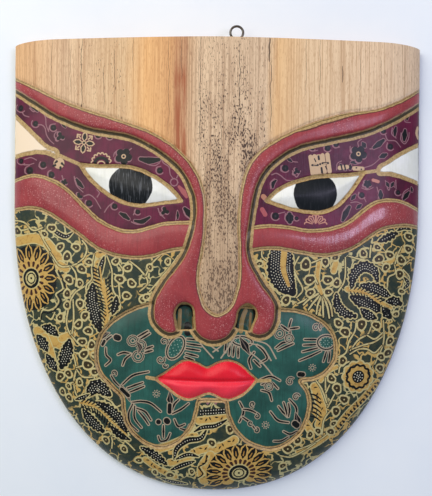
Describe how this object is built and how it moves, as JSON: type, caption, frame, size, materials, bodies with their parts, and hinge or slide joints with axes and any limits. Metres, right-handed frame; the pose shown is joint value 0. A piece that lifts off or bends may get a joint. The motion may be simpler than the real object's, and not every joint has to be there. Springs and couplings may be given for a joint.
{
  "type": "painted wooden wall mask",
  "caption": "Carved wooden face mask with a flat-cut top, batik-style painted pattern, hollowed back and a screw eye for hanging; it lies on its back rim.",
  "frame": {"origin": "on the surface it lies on, under the middle of the whole piece, screw eye included", "axes": "+Z out of the face, +Y from the chin to the cut top, +X to the right as one looks at the face"},
  "size_m": [0.3, 0.3418, 0.0335],
  "materials": {
    "painted_wood": "bare tan wood above, satin varnished batik painting below, raw wood behind",
    "dark_steel": "dulled dark steel wire"
  },
  "bodies": {
    "root": {"mask": "painted_wood", "screw_eye": "dark_steel"}
  },
  "joints": []
}
